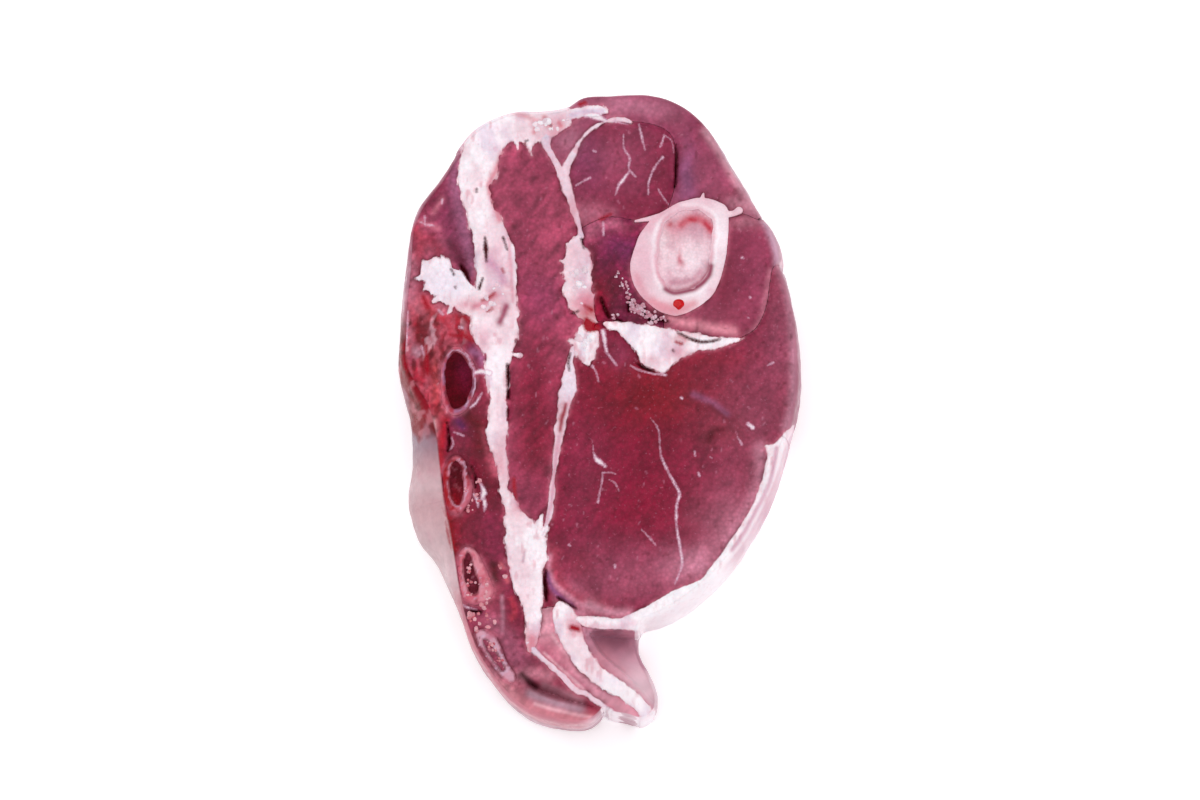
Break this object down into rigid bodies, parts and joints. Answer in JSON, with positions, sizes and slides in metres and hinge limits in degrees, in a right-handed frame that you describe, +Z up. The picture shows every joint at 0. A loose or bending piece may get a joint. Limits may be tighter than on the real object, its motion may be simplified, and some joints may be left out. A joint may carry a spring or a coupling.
{
  "type": "raw bone-in veal shoulder",
  "caption": "Thick sawn slab of raw bone-in veal shoulder: muscles parted by fat seams, a sawn arm bone, rib ends, a fat cover and a thin flap.",
  "frame": {"origin": "middle of the box's underside, on the lower sawn face", "axes": "+Z up out of the upper sawn face, +Y towards the end with the arm bone, -X towards the ribs"},
  "size_m": [0.1854, 0.2908, 0.0609],
  "materials": {
    "red_muscle": "raw meat, wet",
    "pale_muscle": "raw meat, wet, paler",
    "dark_muscle": "raw meat, wet, purple",
    "torn_muscle": "raw meat, torn and bloody",
    "membrane": "thin grey-pink skin over meat",
    "fat": "firm white fat, slightly pink",
    "sinew": "connective tissue, off-white",
    "bone": "sawn bone, off-white",
    "marrow": "sawn spongy bone and marrow, pink",
    "rib_marrow": "dark red rib marrow"
  },
  "bodies": {
    "root": {"shoulder_muscle": "red_muscle", "strap_muscle": "red_muscle", "neck_muscle": "pale_muscle", "cap_muscle": "pale_muscle", "inner_muscle": "dark_muscle", "shank_muscle": "pale_muscle", "chest_wall": "torn_muscle", "flap_muscle": "pale_muscle", "flank_muscle": "membrane", "chest_fat": "fat", "centre_fat": "fat", "neck_seam": "sinew", "strap_seam": "sinew", "shank_fat": "fat", "flap_fat": "fat", "fat_cover": "fat", "flap_seam": "sinew", "arm_bone": "bone", "arm_bone_marrow": "marrow", "rib_1": "bone", "rib_1_marrow": "rib_marrow", "rib_2": "bone", "rib_2_marrow": "rib_marrow", "rib_3": "bone", "rib_3_marrow": "rib_marrow", "rib_4": "bone", "rib_4_marrow": "rib_marrow"}
  },
  "joints": []
}
